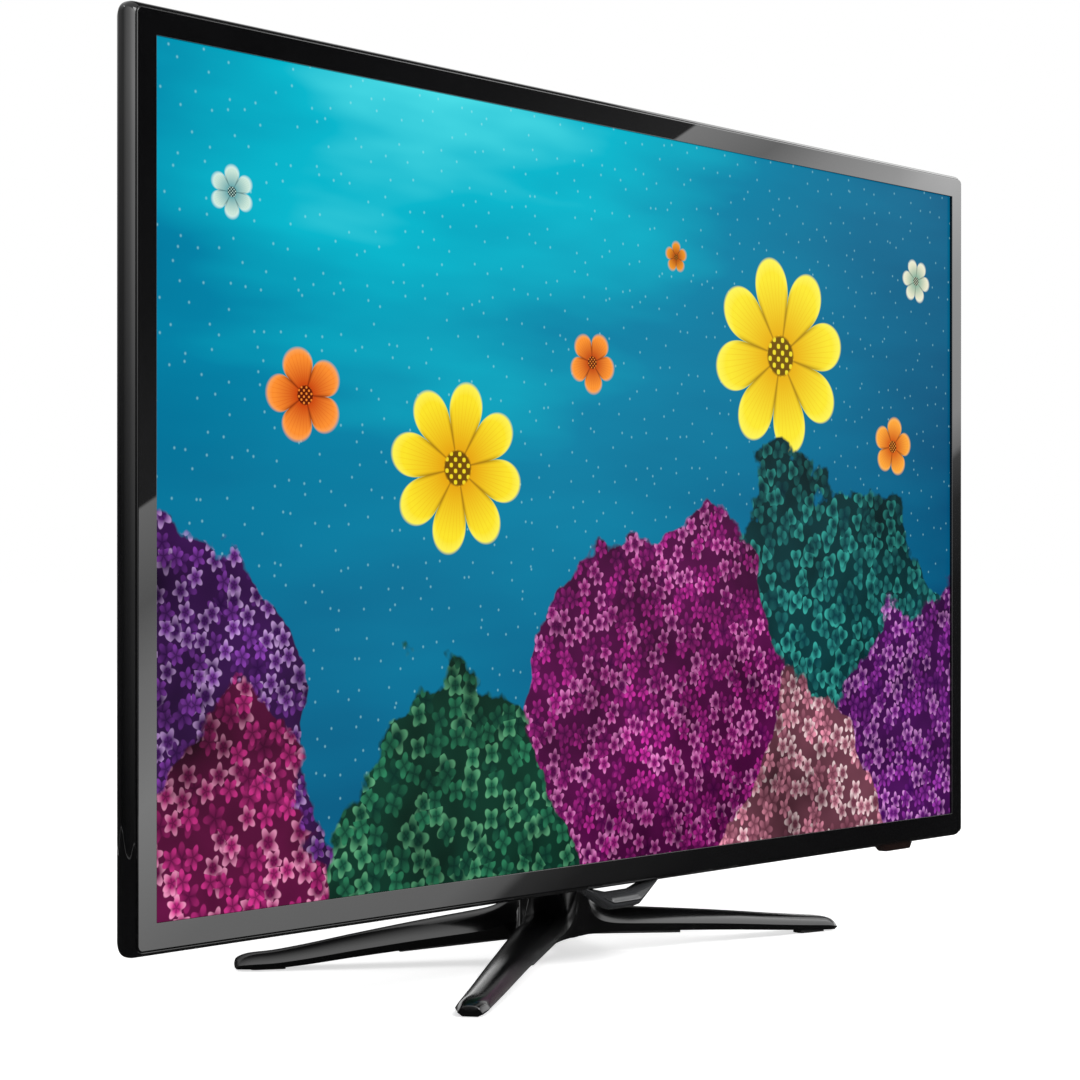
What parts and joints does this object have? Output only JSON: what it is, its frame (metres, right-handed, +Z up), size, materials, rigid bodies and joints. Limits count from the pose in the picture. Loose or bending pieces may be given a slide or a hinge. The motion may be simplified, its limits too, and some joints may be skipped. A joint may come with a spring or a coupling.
{
  "type": "flat screen tv",
  "caption": "Flat screen tv with a gloss black bezel, a crowned side band and a bare badge cradle, on a low star stand whose neck lets the set swivel; sockets and jog control at the back.",
  "frame": {"origin": "on the swivel axis of the stand, at the height of the table that the feet rest on", "axes": "+X to the viewer's right along the screen, +Y from the screen to the back, +Z up"},
  "size_m": [0.9258, 0.3016, 0.5944],
  "materials": {
    "gloss_black": "high gloss piano black moulding",
    "gloss_grey": "dark grey gloss moulding",
    "smoked_plastic": "smoked infrared window",
    "screen_film": "semi-gloss polarising film",
    "screen_glass": "thin panel glass",
    "frame_plastic": "black moulded frame",
    "white_sheet": "white optical sheet",
    "clear_plastic": "clear moulded plastic",
    "plated_steel": "zinc plated steel",
    "black_steel": "black coated steel",
    "screw_steel": "blackened screw steel",
    "bar_aluminium": "plain aluminium",
    "circuit_board": "green solder mask",
    "flex_film": "amber flexible film",
    "grained_black": "fine grained black moulding",
    "socket_steel": "tinned socket shell",
    "socket_plastic": "black socket moulding",
    "part_plastic": "dark moulded part",
    "lead_sleeve": "black lead sleeve",
    "plug_plastic": "natural plug plastic",
    "bearing_plastic": "natural acetal",
    "cap_plastic": "satin black cap",
    "black_rubber": "matte black rubber"
  },
  "bodies": {
    "stand": {"stand_cover": "gloss_black", "stand_core": "plated_steel", "under_plate": "black_steel", "foot_pads": "black_rubber", "stand_screws": "screw_steel", "swivel_bush": "bearing_plastic", "thrust_washer": "bearing_plastic"},
    "tv_set": {"front_bezel": "gloss_black", "outer_band": "gloss_black", "badge_cradle": "gloss_grey", "sensor_lens": "smoked_plastic", "sensor_board": "circuit_board", "front_polariser": "screen_film", "lcd_cell": "screen_glass", "rear_polariser": "screen_film", "panel_frame": "frame_plastic", "column_boards": "circuit_board", "driver_films": "flex_film", "panel_flex_cables": "flex_film", "prism_sheet": "white_sheet", "diffuser_sheet": "white_sheet", "diffuser_plate": "white_sheet", "reflector": "white_sheet", "diffuser_posts": "clear_plastic", "led_bars": "bar_aluminium", "led_lenses": "clear_plastic", "backlight_chassis": "plated_steel", "rear_cover": "grained_black", "cover_screws": "screw_steel", "wall_standoffs": "plated_steel", "main_board": "circuit_board", "main_heat_sink": "bar_aluminium", "hdmi_sockets": "socket_steel", "usb_sockets": "socket_steel", "lan_socket": "socket_steel", "optical_socket": "socket_plastic", "audio_sockets": "socket_plastic", "aerial_socket": "socket_steel", "power_board": "circuit_board", "power_transformer": "part_plastic", "power_capacitors": "part_plastic", "power_heat_sink": "bar_aluminium", "mains_inlet": "socket_plastic", "timing_board": "circuit_board", "board_posts": "plated_steel", "board_screws": "screw_steel", "power_lead": "lead_sleeve", "lead_plugs": "plug_plastic", "speaker_boxes": "part_plastic", "speaker_drivers": "part_plastic", "stand_bracket": "black_steel", "bracket_screws": "screw_steel", "swivel_spindle": "plated_steel", "retaining_washer": "plated_steel", "retaining_nut": "plated_steel", "jog_board": "circuit_board", "jog_case": "socket_plastic"},
    "jog_gimbal": {"jog_gimbal": "bearing_plastic"},
    "jog_stick": {"jog_stick": "bearing_plastic"},
    "jog_cap": {"jog_cap": "cap_plastic"}
  },
  "joints": [
    {"name": "swivel", "type": "hinge", "parent": "stand", "child": "tv_set", "pos_m": [0, 0, 0.06], "axis": [0, 0, 1], "range_deg": [-14, 26]},
    {"name": "jog_tilt_up_down", "type": "hinge", "parent": "tv_set", "child": "jog_gimbal", "pos_m": [0.36, -0.027, 0.15], "axis": [1, 0, 0], "range_deg": [-6, 6], "stiffness_Nm_per_rad": 0.05},
    {"name": "jog_tilt_left_right", "type": "hinge", "parent": "jog_gimbal", "child": "jog_stick", "pos_m": [0.36, -0.027, 0.15], "axis": [0, 0, 1], "range_deg": [-6, 6], "stiffness_Nm_per_rad": 0.05},
    {"name": "jog_press", "type": "slide", "parent": "jog_stick", "child": "jog_cap", "axis": [0, -1, 0], "range_m": [0, 0.0008], "stiffness_N_per_m": 800}
  ]
}
